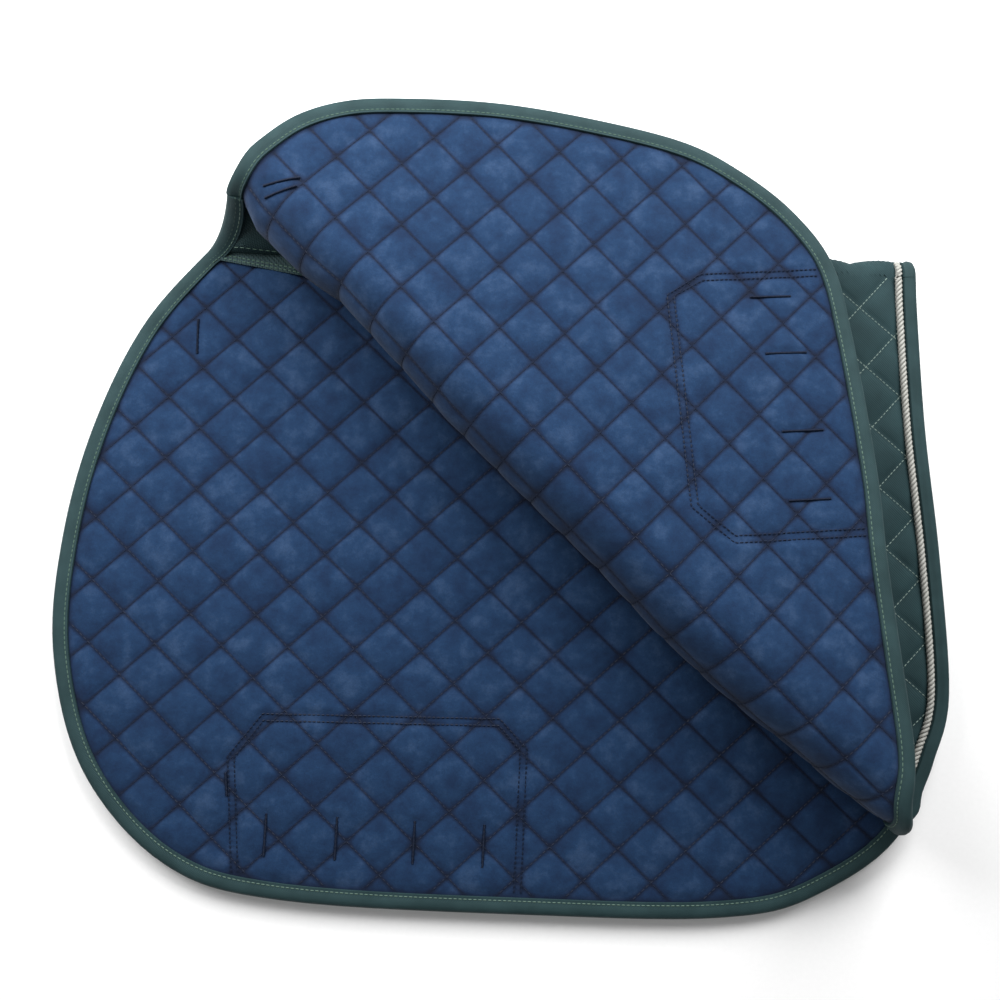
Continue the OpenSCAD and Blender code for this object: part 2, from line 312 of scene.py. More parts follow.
def pillow(a, b):
    """Height of a quilted cell, from 0 on its stitch lines to about 1 in its middle."""
    crown = (np.abs(np.sin(np.pi * a)) * np.abs(np.sin(np.pi * b))) ** 0.5
    return crown * BULGE[np.floor(a).astype(int) % 64, np.floor(b).astype(int) % 64]


def solid_between(name, top, base, cells, material):
    """A closed solid between two grids of points, over the chosen cells."""
    used = np.zeros(top.shape[:2], bool)
    for i, k in ((0, 0), (0, 1), (1, 0), (1, 1)):
        used[i:used.shape[0] - 1 + i, k:used.shape[1] - 1 + k] |= cells
    ids = np.full(top.shape[:2], -1)
    ids[used] = np.arange(used.sum())
    count = int(used.sum())
    corners = [ids[:-1, :-1], ids[1:, :-1], ids[1:, 1:], ids[:-1, 1:]]
    quads = np.stack([c[cells] for c in corners], axis=1)
    faces = [quads, quads[:, ::-1] + count]
    padded = np.pad(cells, 1)
    neighbours = [
        (padded[1:-1, :-2], 0, 1), (padded[2:, 1:-1], 1, 2),
        (padded[1:-1, 2:], 2, 3), (padded[:-2, 1:-1], 3, 0),
    ]
    for there, i, k in neighbours:
        rim = cells & ~there
        a, b = corners[i][rim], corners[k][rim]
        faces.append(np.stack([b, a, a + count, b + count], axis=1))
    piece = add_mesh(name, np.vstack([top[used], base[used]]), np.vstack(faces), material)
    return piece, used


def outwards(piece):
    """Turns every face outwards, whichever way the grid ran."""
    bm = bmesh.new()
    bm.from_mesh(piece.data)
    bmesh.ops.recalc_face_normals(bm, faces=bm.faces)
    bm.to_mesh(piece.data)
    bm.free()
    piece.data.set_sharp_from_angle(angle=SHARP)
    return piece


def lattice_range(lattice, polygon):
    """Whole lattice steps that cover a polygon with one to spare."""
    origin, i, j = lattice[:3]
    back = np.linalg.inv(np.stack([i, j], axis=1))
    at = (np.asarray(polygon) - origin) @ back.T
    return np.floor(at.min(0)).astype(int) - 1, np.ceil(at.max(0)).astype(int) + 1


def lattice_points(lattice, a, b):
    """Flat points of lattice indices; the lattice drifts along the crease beyond the roll."""
    origin, i, j, drift = lattice
    flat = origin + a[..., None] * i + b[..., None] * j
    flat[..., 0] += drift * step(MID_Q - flat[..., 1], 0, DRIFT_RUN)
    return flat


def lattice_grid(lattice, polygon):
    """Grid indices and flat points covering a polygon, in steps of part of a quilted cell."""
    low, high = lattice_range(lattice, polygon)
    a = np.arange((high[0] - low[0]) * CELL_STEPS + 1) / CELL_STEPS + low[0]
    b = np.arange((high[1] - low[1]) * CELL_STEPS + 1) / CELL_STEPS + low[1]
    a, b = np.meshgrid(a, b, indexing="ij")
    return a, b, lattice_points(lattice, a, b)


def quilt(name, lattice, polygon, edge, place, side, seams, material, limit=None, shape=None):
    """One face of the padding: crowned cells, sunk at stitch lines, seams and the binding."""
    a, b, flat = lattice_grid(lattice, polygon)
    points = flat.reshape(-1, 2)
    away = distance(points, edge)
    lift = pillow(a, b).ravel()
    for seam in seams:
        lift = lift * (1 - 0.75 * np.exp(-(distance(points, seam) / 2.6) ** 2))
    lift = lift * step(away, BINDING_W - 3, BINDING_W + 9)
    if shape is not None:
        lift = shape(points, lift)
    level = (GROOVE + CROWN * lift).reshape(a.shape)
    middle = (flat[:-1, :-1] + flat[1:, 1:]) / 2
    centre = middle.reshape(-1, 2)
    cells = inside(centre, np.asarray(polygon)) & (distance(centre, edge) > CLOTH_EDGE)
    if limit is not None:
        cells &= limit(centre)
    cells = cells.reshape(middle.shape[:2])
    piece, used = solid_between(name, place(flat, side * level),
                                place(flat, side * CLOTH_BASE), cells, material)
    # The cells' heights are kept for the velour, whose colour paints shade into the stitched
    # grooves
    shade = np.clip(lift.reshape(a.shape)[used], 0, 1)
    set_values(piece, "crown", np.concatenate([shade, shade]))
    return outwards(piece)


def sweep(name, path, section, place, material):
    """A closed strip round an edge; each section point is (distance in, height)."""
    section = np.array(section, float)
    rows = [place(inward(path, e), np.full(len(path), n)) for e, n in section]
    ring = np.stack(rows, axis=1)
    count, sides = ring.shape[:2]
    ids = np.arange(count * sides).reshape(count, sides)
    across = np.roll(ids, -1, axis=1)
    walls = np.stack([ids[:-1], ids[1:], across[1:], across[:-1]], axis=-1).reshape(-1, 4)
    faces = [list(f) for f in walls] + [list(ids[0]), list(ids[-1][::-1])]
    return outwards(add_mesh(name, ring.reshape(-1, 3), faces, material))


def binding_section(top, bottom):
    """A soft folded strip: flat faces, sunk at the seam, with a round outer edge."""
    half, middle = (top - bottom) / 2, (top + bottom) / 2
    turn = np.linspace(math.pi / 2, -math.pi / 2, 9)[1:-1]
    flank = half * 0.62
    arc = [(flank * (1 - math.cos(t)), middle + half * math.sin(t)) for t in turn]

    def face(width, level, up):
        return [(width, level - 1.6 * up), (width - 0.4, level - 0.7 * up),
                (width - 2.6, level - 0.9 * up), (width - 4.5, level - 0.1 * up),
                (flank + 1.5, level)]

    return face(BINDING_W, top, 1) + arc + face(BACK_BINDING_W, bottom, -1)[::-1]


def stitch_row(path, place, level, spacing, length, width):
    """Short rounded stitches along a flat line, as points and faces."""
    path = resample(path, spacing)
    t = tangents(path)
    n = np.full(len(path), float(level))
    start = place(path - t * length / 2, n)
    end = place(path + t * length / 2, n)
    side = place(path + np.stack([-t[:, 1], t[:, 0]], axis=1), n) - place(path, n)
    side /= np.maximum(np.linalg.norm(side, axis=1, keepdims=True), 1e-9)
    along = end - start
    up = np.cross(along, side)
    up /= np.maximum(np.linalg.norm(up, axis=1, keepdims=True), 1e-9)
    rings = []
    for share, size in ((0, 0.35), (0.25, 1), (0.75, 1), (1, 0.35)):
        centre = start + along * share
        for a, b in ((1, 0), (0, 1), (-1, 0), (0, -1)):
            rings.append(centre + width / 2 * size * (a * side + b * up * 0.8))
    points = np.stack(rings, axis=1)
    block = []
    for r in range(3):
        for k in range(4):
            m = (k + 1) % 4
            block.append([r * 4 + k, r * 4 + 4 + k, r * 4 + 4 + m, r * 4 + m])
    block += [[0, 1, 2, 3], [15, 14, 13, 12]]
    return points, np.array(block)


def stitches(name, paths, place, level, material, stitch=QUILT_STITCH):
    """Rows of stitches along flat lines, as one mesh."""
    points, faces, count = [], [], 0
    for path in paths:
        if len(path) < 2:
            continue
        found, block = stitch_row(np.asarray(path, float), place, level, *stitch)
        for one in found:
            points.append(one)
            faces.append(block + count)
            count += 16
    return outwards(add_mesh(name, np.vstack(points), np.vstack(faces), material))


def lattice_lines(lattice, polygon, edge, margin=15, limit=None):
    """The stitch lines of a quilted face, cut into the runs that lie inside it."""
    low, high = lattice_range(lattice, polygon)
    runs = []
    for axis in (0, 1):
        for k in range(low[axis], high[axis] + 1):
            t = np.arange(low[1 - axis], high[1 - axis], 0.12)
            grid = np.empty((len(t), 2))
            grid[:, axis], grid[:, 1 - axis] = k, t
            line = lattice_points(lattice, grid[:, 0], grid[:, 1])
            good = inside(line, np.asarray(polygon)) & (distance(line, edge) > margin)
            if limit is not None:
                good &= limit(line)
            bounds = np.flatnonzero(np.diff(np.concatenate([[0], good.astype(int), [0]])))
            runs += [line[a:b] for a, b in zip(bounds[::2], bounds[1::2]) if b - a > 2]
    return runs


def twisted_cord(name, path, place, level, material, strands=3):
    """A cord of strands laid round each other along a flat line."""
    fine = resample(path, 1.3)
    centre = place(fine, np.full(len(fine), float(level)))
    along = tangents(centre)
    side = place(inward(fine, 1), np.full(len(fine), float(level))) - centre
    side /= np.linalg.norm(side, axis=1, keepdims=True)
    up = np.cross(along, side)
    length = np.concatenate([[0], np.cumsum(np.linalg.norm(np.diff(centre, axis=0), axis=1))])
    strand_r = CORD_D / 4.3
    points, faces = [], []
    for strand in range(strands):
        turn = 2 * math.pi * (length / CORD_PITCH + strand / strands)
        out = np.cos(turn)[:, None] * side + np.sin(turn)[:, None] * up
        core = centre + (CORD_D / 2 - strand_r) * out
        t = tangents(core)
        u = np.cross(t, out)
        first = len(points) * len(fine) * 7
        ring = [core + strand_r * (math.cos(k) * out + math.sin(k) * u)
                for k in np.arange(7) * 2 * math.pi / 7]
        points.append(np.stack(ring, axis=1).reshape(-1, 3))
        ids = first + np.arange(len(fine) * 7).reshape(-1, 7)
        nxt = np.roll(ids, -1, axis=1)
        faces += np.stack([ids[:-1], ids[1:], nxt[1:], nxt[:-1]], axis=-1).reshape(-1, 4).tolist()
        faces += [ids[0].tolist(), ids[-1][::-1].tolist()]
    return outwards(add_mesh(name, np.vstack(points), faces, material))


def slab(name, polygon, place, low, high, material):
    """A thin cloth piece with a rounded edge, such as a patch or a strap."""
    polygon = np.asarray(polygon, float)
    closed = resample(np.vstack([polygon, polygon[:1]]), 5)[:-1]
    middle = closed.mean(0)
    after = np.roll(closed, -1, axis=0)
    if np.sum(closed[:, 0] * after[:, 1] - after[:, 0] * closed[:, 1]) < 0:
        closed = closed[::-1]
    rings = []
    for scale, n in ((0.0, high), (0.5, high), (0.965, high), (1, (low + high) / 2), (0.965, low),
                     (0.5, low), (0.0, low)):
        rings.append(place(middle + (closed - middle) * max(scale, 0.02), np.full(len(closed), n)))
    points = np.stack(rings)
    ids = np.arange(points.shape[0] * points.shape[1]).reshape(points.shape[:2])
    nxt = np.roll(ids, -1, axis=1)
    faces = np.stack([ids[:-1], nxt[:-1], nxt[1:], ids[1:]], axis=-1).reshape(-1, 4).tolist()
    faces += [ids[0].tolist(), ids[-1][::-1].tolist()]
    return outwards(add_mesh(name, points.reshape(-1, 3), faces, material))


# ---------------------------------------------------------------- materials
def material(name, roughness, sheen, sheen_tint, sheen_roughness=0.4):
    """A cloth-like material, with its node tree and shader to build on."""
    made = bpy.data.materials.new(name)
    made.use_nodes = True
    shader = made.node_tree.nodes["Principled BSDF"]
    shader.inputs["Roughness"].default_value = roughness
    shader.inputs["Sheen Weight"].default_value = sheen
    shader.inputs["Sheen Tint"].default_value = (*sheen_tint, 1)
    shader.inputs["Sheen Roughness"].default_value = sheen_roughness
    shader.inputs["Specular IOR Level"].default_value = 0.25
    return made, made.node_tree, shader


def texture(tree, kind, scale, **settings):
    """A texture node laid in the object's own space."""
    node = tree.nodes.new(kind)
    where = tree.nodes.new("ShaderNodeTexCoord")
    tree.links.new(where.outputs["Object"], node.inputs["Vector"])
    node.inputs["Scale"].default_value = scale
    for key, value in settings.items():
        if key in node.inputs:
            node.inputs[key].default_value = value
        else:
            setattr(node, key, value)
    return node


def ramp(tree, source, stops):
    """Colours from a number, by (position, colour) stops."""
    node = tree.nodes.new("ShaderNodeValToRGB")
    elements = node.color_ramp.elements
    while len(elements) < len(stops):
        elements.new(0.5)
    for element, (position, colour) in zip(elements, stops):
        element.position = position
        element.color = (*colour, 1)
    tree.links.new(source, node.inputs["Fac"])
    return node.outputs["Color"]


def mix(tree, kind, factor, first, second):
    """Two colours mixed in a given way; each input is a socket or a value."""
    node = tree.nodes.new("ShaderNodeMix")
    node.data_type = "RGBA"
    node.blend_type = kind
    sockets = [s for s in node.inputs if s.enabled]
    for socket, value in zip(sockets, (factor, first, second)):
        if hasattr(value, "is_output"):
            tree.links.new(value, socket)
        else:
            socket.default_value = value
    return [s for s in node.outputs if s.enabled][0]


def bump(tree, shader, heights):
    """Chains bumps, each of (height socket, depth in millimetres, strength)."""
    last = None
    for height, depth, strength in heights:
        node = tree.nodes.new("ShaderNodeBump")
        node.inputs["Distance"].default_value = depth * MM
        node.inputs["Strength"].default_value = strength
        tree.links.new(height, node.inputs["Height"])
        if last is not None:
            tree.links.new(last, node.inputs["Normal"])
        last = node.outputs["Normal"]
    tree.links.new(last, shader.inputs["Normal"])


def velour():
    """Brushed navy lining: mottled nap with patches of painted sheen, and painted shade darkening
    its stitched grooves.
    """
    made, tree, shader = material("navy_velour_cloth", 0.9, 0.045, (0.75, 0.85, 0.98), 0.5)
    nap_sheen_mottle = texture(tree, "ShaderNodeTexNoise", 52, Detail=7.0, Roughness=0.66)
    pile = texture(tree, "ShaderNodeTexNoise", 1500, Detail=3.0)
    pucker = texture(tree, "ShaderNodeTexNoise", 150, Detail=3.0)
    # Partly the nap's own tone varying at random, partly painted sheen: the lighter patches are a
    # greyish haze standing in for the velour's sheen
    base = ramp(tree, nap_sheen_mottle.outputs["Fac"],
                [(0.34, (0.002, 0.016, 0.053)), (0.52, (0.005, 0.027, 0.077)),
                 (0.68, (0.018, 0.046, 0.108))])
    grain = ramp(tree, pile.outputs["Fac"], [(0.3, (0.72, 0.72, 0.72)), (0.7, (1, 1, 1))])
    # Painted shade: the colour is darkened where the cells' crown height falls towards the stitch
    # lines, as shade falls in the grooves
    crown = tree.nodes.new("ShaderNodeAttribute")
    crown.attribute_name = "crown"
    depth = ramp(tree, crown.outputs["Fac"],
                 [(0.0, (0.16, 0.20, 0.28)), (0.14, (0.48, 0.52, 0.60)), (0.28, (0.86, 0.88, 0.92)),
                  (0.55, (1, 1, 1))])
    grained = mix(tree, "MULTIPLY", 1.0, base, grain)
    tree.links.new(mix(tree, "MULTIPLY", 1.0, grained, depth), shader.inputs["Base Color"])
    bump(tree, shader, [(pucker.outputs["Fac"], 0.9, 0.5), (pile.outputs["Fac"], 0.25, 0.5)])
    return made


def woven(name, dark, light, thread_mm, roughness, sheen, depth=0.16):
    """A woven cloth: crossed rows of thread with a little unevenness of colour."""
    made, tree, shader = material(name, roughness, sheen, light, 0.5)
    scale = 2000 / math.tau / thread_mm
    warp = texture(tree, "ShaderNodeTexWave", scale, bands_direction="DIAGONAL", Distortion=0.4)
    weft = texture(tree, "ShaderNodeTexWave", scale, bands_direction="X", Distortion=0.4)
    stain = texture(tree, "ShaderNodeTexNoise", 55, Detail=4.0)
    base = ramp(tree, stain.outputs["Fac"], [(0.3, dark), (0.72, light)])
    rows = ramp(tree, warp.outputs["Fac"], [(0.0, (0.70, 0.70, 0.70)), (0.6, (1, 1, 1))])
    tree.links.new(mix(tree, "MULTIPLY", 1.0, base, rows), shader.inputs["Base Color"])
    bump(tree, shader, [(warp.outputs["Fac"], depth, 0.7), (weft.outputs["Fac"], depth, 0.4)])
    return made


def thread(name, colour, roughness):
    """Sewing thread or cord: fine fibres, darker between them."""
    made, tree, shader = material(name, roughness, 0.25, colour)
    fibre = texture(tree, "ShaderNodeTexNoise", 2200, Detail=2.0)
    dark = tuple(0.6 * c for c in colour)
    tree.links.new(ramp(tree, fibre.outputs["Fac"], [(0.3, dark), (0.7, colour)]),
                   shader.inputs["Base Color"])
    bump(tree, shader, [(fibre.outputs["Fac"], 0.12, 0.5)])
    return made


def floor_material():
    """Plain pale paper."""
    made, tree, shader = material("floor_paper", 0.9, 0, (1, 1, 1))
    grain = texture(tree, "ShaderNodeTexNoise", 300, Detail=2.0)
    tree.links.new(ramp(tree, grain.outputs["Fac"],
                        [(0.0, (0.86, 0.86, 0.86)), (1.0, (0.90, 0.90, 0.90))]),
                   shader.inputs["Base Color"])
    return made


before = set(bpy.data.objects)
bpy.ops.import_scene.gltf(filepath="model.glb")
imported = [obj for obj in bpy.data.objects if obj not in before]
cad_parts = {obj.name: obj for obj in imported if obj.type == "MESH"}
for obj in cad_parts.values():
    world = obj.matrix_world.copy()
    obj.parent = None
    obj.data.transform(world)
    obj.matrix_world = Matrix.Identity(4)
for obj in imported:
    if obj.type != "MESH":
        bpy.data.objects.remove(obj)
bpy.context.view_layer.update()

NAVY = velour()
TWILL = woven("green_twill_cloth", (0.009, 0.028, 0.032), (0.016, 0.043, 0.048), 0.9, 0.8, 0.12)
BINDING = woven("green_binding_cloth", (0.011, 0.032, 0.035), (0.019, 0.047, 0.051), 0.6, 0.75,
                0.16)
WEBBING = woven("green_webbing_cloth", (0.009, 0.027, 0.030), (0.015, 0.038, 0.041), 1.8, 0.7,
                0.12, 0.4)
PALE_THREAD = thread("green_stitch_thread", (0.09, 0.155, 0.12), 0.5)
GREY_THREAD = thread("outer_stitch_thread", (0.27, 0.35, 0.31), 0.5)
DARK_THREAD = thread("navy_stitch_thread", (0.003, 0.009, 0.028), 0.6)
SILVER = thread("silver_cord_thread", (0.40, 0.40, 0.37), 0.5)


def on_lower(piece):
    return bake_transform(piece)


def on_upper(piece):
    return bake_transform(piece)


def on_near(piece):
    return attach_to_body(piece, "near_flap")


def finish_piece(piece, attach, nodes=()):
    """Says what a piece moves with and the solids it stands for."""
    attach(piece)
    if nodes:
        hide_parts(*nodes)
    return piece


# ---------------------------------------------------------------- near flap
# Heights of the stitches: in a quilting line, on the cloth and on the binding
SUNK, TOP, ON_BINDING = GROOVE + 0.1, GROOVE + 1.1, 4.35


def near_y(p):
    """Distance up from the spine of a point of the near flap."""
    return p[..., 1]


def before_fold(p):
    return near_y(p) < FOLD_Y


def past_fold(p):
    return near_y(p) >= FOLD_Y


near_polygon = np.vstack([near_edge, [[SPINE_REAR, FOLD_Y], [0, FOLD_Y]]])
near_patch = np.array(NEAR_PATCH, float)
near_tacks = [np.array(line, float) for line in NEAR_TACKS]
near_seams = [near_patch, inward(near_patch, -5), *near_tacks]
near_lines = lattice_lines(NEAR_LATTICE, near_polygon, near_edge, limit=before_fold)

finish_piece(quilt("near_lining_quilt", NEAR_LATTICE, near_polygon, near_edge, near_place, 1,
                   near_seams, NAVY, before_fold),
             on_near, ["near_lining_panel", "near_wadding"])
finish_piece(quilt("near_outer_quilt", NEAR_LATTICE, near_polygon, near_edge, near_place, -1,
                   near_seams, TWILL, before_fold),
             on_near, ["near_outer_panel"])
finish_piece(sweep("near_binding_strip", near_edge, binding_section(*BINDING_FACES), near_place,
                   BINDING), on_near, ["near_edge_binding"])
finish_piece(stitches("near_binding_stitches", [inward(near_edge, BINDING_SEAM)], near_place,
                      ON_BINDING, PALE_THREAD, PALE_STITCH), on_near)
finish_piece(stitches("near_lining_stitches", near_lines, near_place, SUNK, DARK_THREAD),
             on_near)
finish_piece(stitches("near_outer_stitches", near_lines, near_place, -SUNK, GREY_THREAD,
                      OUTER_STITCH),
             on_near)
finish_piece(stitches("near_patch_stitches", near_seams[:2], near_place, TOP, DARK_THREAD,
                      PATCH_STITCH), on_near)
finish_piece(stitches("near_tack_stitches", near_tacks, near_place, TOP, DARK_THREAD,
                      TACK_STITCH), on_near, ["near_bar_tacks"])
finish_piece(twisted_cord("near_cord_twist", inward(near_edge, CORD_INSET)[2:-2], near_place,
                          CORD_N, SILVER), on_near, ["near_trim_cord"])
# The patch's cloth stops short of the cord
near_cloth = np.maximum(near_patch, [-999, -471])
finish_piece(slab("near_patch_cloth", near_cloth, near_place, *PATCH_FACES, TWILL),
             on_near, ["near_girth_patch"])
finish_piece(slab("near_webbing_strip", NEAR_WEBBING, near_place, *WEBBING_FACES, WEBBING),
             on_near, ["near_girth_webbing"])
finish_piece(slab("near_strap_cloth", NEAR_STRAP, near_place, *STRAP_FACES, WEBBING),
             on_near, ["near_billet_strap"])


def on_fold_lower(piece, low=FOLD_Y, high=-0.5):
    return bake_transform(piece)


def on_fold_upper(piece, low=FOLD_Y, high=-0.5):
    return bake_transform(piece)


def across_spine(low, high):
    """The corners of a strip along the spine."""
    return np.array([(SPINE_START, low), (SPINE_END, low), (SPINE_END, high), (SPINE_START, high)],
                    float)


def fold_puff(x, past, lift, sunk=0.0):
    """Both halves of the fold meet in one row of scallops that stand proud of the spine."""
    share = np.sin(np.clip(past / FOLD_MID_R, 0, math.pi / 2)) ** 2
    wave = np.abs(np.sin(math.pi * (x - SCALLOP_START) / SCALLOP_RUN)) ** 0.7
    scallop = SCALLOP + SCALLOP * wave
    return lift * (1 - share) + (scallop - sunk) * share


def far_x(p):
    """Station along the spine of a point of the upper flap's flat part."""
    return p @ np.array([ALONG[0], -ACROSS[0]]) + ROLL_H * ACROSS[0]


def far_y(p):
    """Distance up from the spine of a point of the upper flap's flat part."""
    return p @ np.array([ALONG[1], -ACROSS[1]]) + ROLL_H * ACROSS[1]


def swollen(place, past):
    """A place function whose outer side stands further out towards the top of the fold."""
    def grown(p, n):
        share = np.sin(np.clip(past(p) / FOLD_MID_R, 0, math.pi / 2)) ** 2
        n = np.broadcast_to(n, p.shape[:-1])
        return place(p, np.where(n < 0, n * (1 + FOLD_SWELL * share), n))
    return grown


def gathered(place, height, rise):
    """A place function that draws the cloth's cut edge together at the top of the fold."""
    def drawn(p, n):
        over = np.maximum(height(p) - FOLD_Y - FOLD_HALF, 0)
        return place(p - FOLD_GATHER * over[..., None] * rise, n)
    return drawn


def past_near(p):
    return near_y(p) - FOLD_Y


def past_far(p):
    return far_y(p) - FOLD_Y


def past_far_fold(p):
    return past_far(p) >= 0


def lower_puff(p, lift):
    return fold_puff(p[:, 0], past_near(p), lift, LOWER_SUNK)


def upper_puff(p, lift):
    return fold_puff(far_x(p), past_far(p), lift)


near_gathered = gathered(near_place, near_y, np.array([0.0, 1.0]))
far_gathered = gathered(fold_far_place, far_y, np.array([ALONG[1], -ACROSS[1]]))
near_swollen = swollen(near_place, past_near)
far_swollen = swollen(fold_far_place, past_far)
front_end = np.array([(SPINE_START, -60), (SPINE_START, 60)])
fold_strip = across_spine(FOLD_Y - FOLD_LAP, FOLD_Y + FOLD_HALF + FOLD_OVER)
finish_piece(quilt("spine_lower_quilt", NEAR_LATTICE, fold_strip, front_end, near_gathered, -1,
                   [], TWILL, past_fold, lower_puff),
             on_fold_lower, ["spine_outer_strip", "spine_wadding"])
finish_piece(quilt("spine_upper_quilt", FAR_LATTICE, to_developed(fold_strip),
                   to_developed(front_end), far_gathered, -1, [], TWILL, past_far_fold,
                   upper_puff),
             on_fold_upper, ["spine_outer_strip"])


def spine_binding(name, x, turned, faces):
    """Both halves of the binding over one end of the fold; gives back the lines they follow."""
    line = np.array([(x, FOLD_Y + t) for t in np.linspace(0, FOLD_HALF, 9)])
    low = line if turned else line[::-1]
    high = to_developed(low)[::-1]
    nodes = ["spine_binding_" + name]
    finish_piece(sweep("spine_" + name + "_binding_low", low, binding_section(*faces),
                       near_swollen, BINDING), on_fold_lower, nodes)
    finish_piece(sweep("spine_" + name + "_binding_high", high, binding_section(*faces),
                       far_swollen, BINDING), on_fold_upper, nodes)
    return low, high


spine_binding("front", SPINE_START, False, FRONT_FACES)
rear_low, rear_high = spine_binding("rear", SPINE_REAR, True, BINDING_FACES)
finish_piece(twisted_cord("spine_rear_cord_low", inward(rear_low, CORD_INSET), near_swollen,
                          REAR_CORD_N, SILVER), on_fold_lower)
finish_piece(twisted_cord("spine_rear_cord_high", inward(rear_high, CORD_INSET), far_swollen,
                          REAR_CORD_N, SILVER), on_fold_upper)


def tape_piece(name, width, face, place_z):
    """A tape along the fold: flat beside it and just reaching round into it."""
    x = np.arange(2, 527, 3.0)
    rows = []
    for y, z in ((None, 0), (FOLD_Y - TAPE_LAP, 0), (FOLD_Y, 0), (TAPE_REACH, FOLD_Z - place_z),
                 (FOLD_Y, -face), (FOLD_Y - TAPE_LAP, -face), (None, -face)):
        edge = FOLD_Y - width(x) if y is None else np.full_like(x, y)
        rows.append(np.stack([x + SPINE_FRONT[0], edge + SPINE_FRONT[1],
                              np.full_like(x, place_z + z)], axis=1))
    ring = np.stack(rows, axis=1)
    ids = np.arange(ring.shape[0] * ring.shape[1]).reshape(ring.shape[:2])
    nxt = np.roll(ids, -1, axis=1)
    faces = np.stack([ids[:-1], ids[1:], nxt[1:], nxt[:-1]], axis=-1).reshape(-1, 4).tolist()
    faces += [ids[0].tolist(), ids[-1][::-1].tolist()]
    return outwards(add_mesh(name, ring.reshape(-1, 3), faces, WEBBING))


def tape_width(x):
    """The lower half narrows towards the notch."""
    return np.interp(x, [0, 30, 92, 140], [9, 13, 22, 22])


def upper_tape_width(x):
    return np.full_like(x, 4.0)


def on_tape_lower(piece):
    return on_fold_lower(piece, FOLD_Y, TAPE_REACH)


def on_tape_upper(piece):
    return on_fold_upper(piece, FOLD_Y, TAPE_REACH)


tape_edge = np.array([(x, FOLD_Y - tape_width(x)) for x in np.arange(6, 524, 4.0)])
finish_piece(tape_piece("spine_tape_low", tape_width, 0.5, FOLD_Z + 0.25), on_tape_lower,
             ["spine_tape"])
finish_piece(tape_piece("spine_tape_high", upper_tape_width, -0.4, FOLD_Z + 0.3),
             on_tape_upper, ["spine_tape"])
finish_piece(stitches("spine_tape_stitches", [tape_edge + [0, 2.0], tape_edge + [0, 4.6]],
                      near_place, TAPE_N, PALE_THREAD, PALE_STITCH), on_near)

# ---------------------------------------------------------------- upper flap
def raised(points):
    """Points of the turned corner, given from where it leaves the roll."""
    return np.array([(s, x + ARC) for s, x in points], float)


def roll_taut(points, lift):
    """The cells are pulled flat where the cloth bends round the roll."""
    return lift * (1 - 0.6 * np.sin(np.clip(points[:, 1] / ROLL_R, 0, math.pi)) ** 2)


def is_upper(p):
    return p[:, 1] >= MID_Q


def is_lower(p):
    return (p[:, 1] < MID_Q) & ~past_far_fold(p)


corner_patch = raised(CORNER_PATCH)
corner_tacks = [np.array([p, p + TACK_RUN]) for p in raised(CORNER_TACKS)]
corner_tacks += [raised(line) for line in FRONT_TACKS]
corner_seams = [corner_patch, inward(corner_patch, 5), *corner_tacks]
far_polygon = np.vstack([far_edge, to_developed([(2, -6), (SPINE_REAR, 5)])])
for name, side, cloth, slot, limit, attach, nodes in (
    ("corner_lining_quilt", 1, NAVY, "navy_velour", is_upper, on_upper,
     ["corner_lining_panel", "corner_wadding", "roll_lining_panel", "roll_wadding"]),
    ("corner_outer_quilt", -1, TWILL, "green_twill", is_upper, on_upper,
     ["corner_outer_panel", "roll_outer_panel"]),
    ("far_lining_quilt", 1, NAVY, "navy_velour", is_lower, on_lower,
     ["far_lining_panel", "far_wadding", "roll_lining_panel"]),
    ("far_outer_quilt", -1, TWILL, "green_twill", is_lower, on_lower,
     ["far_outer_panel", "roll_outer_panel"]),
):
    finish_piece(quilt(name, FAR_LATTICE, far_polygon, far_edge, far_place, side, corner_seams,
                       cloth, limit, roll_taut), attach, nodes)

for part, edge, attach, limit, nodes in (
    ("corner", upper_edge, on_upper, is_upper,
     ["corner_edge_binding", "roll_binding_front", "roll_binding_rear"]),
    ("far", lower_edge, on_lower, is_lower, ["far_edge_binding", "roll_binding_rear"]),
):
    finish_piece(sweep(part + "_binding_strip", edge, binding_section(*BINDING_FACES), far_place,
                       BINDING), attach, nodes)
    finish_piece(stitches(part + "_binding_stitches", [inward(edge, BINDING_SEAM)], far_place,
                          ON_BINDING, PALE_THREAD, PALE_STITCH), attach)
    lines = lattice_lines(FAR_LATTICE, far_polygon, far_edge, limit=limit)
    finish_piece(stitches(part + "_lining_stitches", lines, far_place, SUNK, DARK_THREAD),
                 attach)
    finish_piece(stitches(part + "_outer_stitches", lines, far_place, -SUNK, GREY_THREAD,
                          OUTER_STITCH), attach)
    finish_piece(twisted_cord(part + "_cord_twist", inward(edge, CORD_INSET), far_place, CORD_N,
                              SILVER), attach, [part + "_trim_cord"])

finish_piece(stitches("corner_patch_stitches", corner_seams[:2], far_place, TOP, DARK_THREAD,
                      PATCH_STITCH), on_upper)
finish_piece(stitches("corner_tack_stitches", corner_tacks, far_place, TOP, DARK_THREAD,
                      TACK_STITCH), on_upper, ["corner_bar_tacks"])
# The patch's cloth keeps clear of the cord
corner_cloth = corner_patch.copy()
corner_cloth[0] -= [2, 7]
corner_cloth[5] -= [3, 3]
finish_piece(slab("corner_patch_cloth", corner_cloth, far_place, *PATCH_FACES, TWILL),
             on_upper, ["corner_girth_patch"])
# The directions back along the spine and down from it, in the developed cloth
down_spine, down_flap = np.array([0.7466, -0.6652]), np.array([0.6652, 0.7466])
web = raised([CORNER_WEBBING])[0]
run, rise = WEBBING_LENGTH * down_spine, WEBBING_WIDTH * down_flap
finish_piece(slab("corner_webbing_strip", [web, web + run, web + run + rise, web + rise],
                  far_place, *WEBBING_FACES, WEBBING),
             on_upper, ["corner_girth_webbing"])
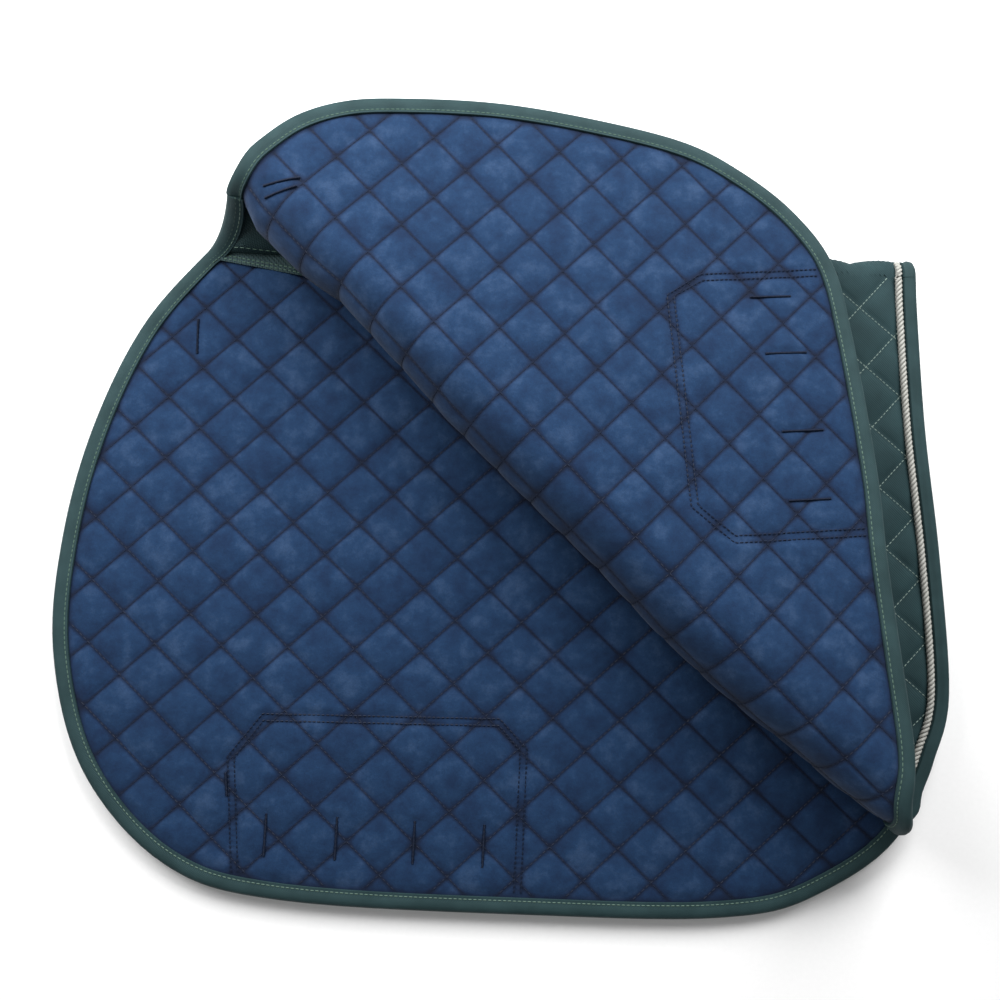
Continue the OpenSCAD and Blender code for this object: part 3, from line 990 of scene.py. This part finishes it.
# The strap is cut off where the lower half of the roll begins
strap = raised([CORNER_STRAP])[0]
run = (strap[1] - MID_Q) / -down_spine[1] * down_spine
finish_piece(slab("roll_strap_upper",
                  [strap, strap + run, strap + run + [0, STRAP_CUT],
                   strap + STRAP_WIDTH * down_flap], far_place, *STRAP_FACES, WEBBING),
             on_upper, ["roll_billet_strap"])


def on_notch(piece):
    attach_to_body(piece, "far_flap")
    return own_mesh(piece)


stations, rises = np.meshgrid(np.linspace(NOTCH_START, NOTCH_END, 40),
                              np.linspace(0, NOTCH_RISE, 26), indexing="ij")
notch_grid = np.stack([stations, rises], axis=-1)
notch, _ = solid_between("notch_tape_cloth", notch_place(notch_grid, 1.0),
                         notch_place(notch_grid, -2.0), np.ones((39, 25), bool), WEBBING)
finish_piece(outwards(notch), on_notch)
notch_row = np.array([(s, 11.0) for s in np.linspace(19, 56, 20)])
finish_piece(stitches("notch_tape_stitches", [notch_row], notch_place, 1.2, PALE_THREAD,
                      PALE_STITCH), on_notch)
band_edge = np.array([(0.0, r) for r in np.linspace(NOTCH_RISE, 0, 22)])
finish_piece(sweep("notch_binding_strip", band_edge, binding_section(*BINDING_FACES), band_place,
                   BINDING), on_notch)
finish_piece(stitches("notch_binding_stitches",
                      [inward(band_edge, BINDING_SEAM), inward(band_edge, BINDING_SEAM - 2.9)],
                      band_place, 4.7, PALE_THREAD, PALE_STITCH), on_notch)

# ---------------------------------------------------------------- surroundings
bpy.ops.mesh.primitive_plane_add(size=8, location=(0, 0, -0.0004))
floor = bpy.context.active_object
floor.name = "floor"
floor.data.materials.append(floor_material())

world = bpy.data.worlds.new("studio")
world.use_nodes = True
world.node_tree.nodes["Background"].inputs["Color"].default_value = (1, 1, 1, 1)
world.node_tree.nodes["Background"].inputs["Strength"].default_value = 0.30
bpy.context.scene.world = world


def softbox(name, place, size, power):
    """A square studio light that faces the pad."""
    light = bpy.data.lights.new(name, "AREA")
    light.size = size
    light.energy = power
    lamp = bpy.data.objects.new(name, light)
    lamp.location = place
    lamp.rotation_euler = Vector(place).to_track_quat("Z", "Y").to_euler()
    bpy.context.scene.collection.objects.link(lamp)


softbox("key_light", (0.45, 0.8, 0.8), 0.7, 22)
softbox("left_light", (-0.6, 0.5, 0.6), 0.6, 13)

camera_data = bpy.data.cameras.new("photo_camera")
camera_data.sensor_width = 36
camera_data.lens = 36
camera = bpy.data.objects.new("photo_camera", camera_data)
camera.location = (0.0002, -0.0554, 0.76135)
camera.rotation_euler = (math.radians(5), 0, math.radians(2.876))
bpy.context.scene.collection.objects.link(camera)
bpy.context.scene.camera = camera
bpy.context.scene.view_settings.view_transform = "Standard"
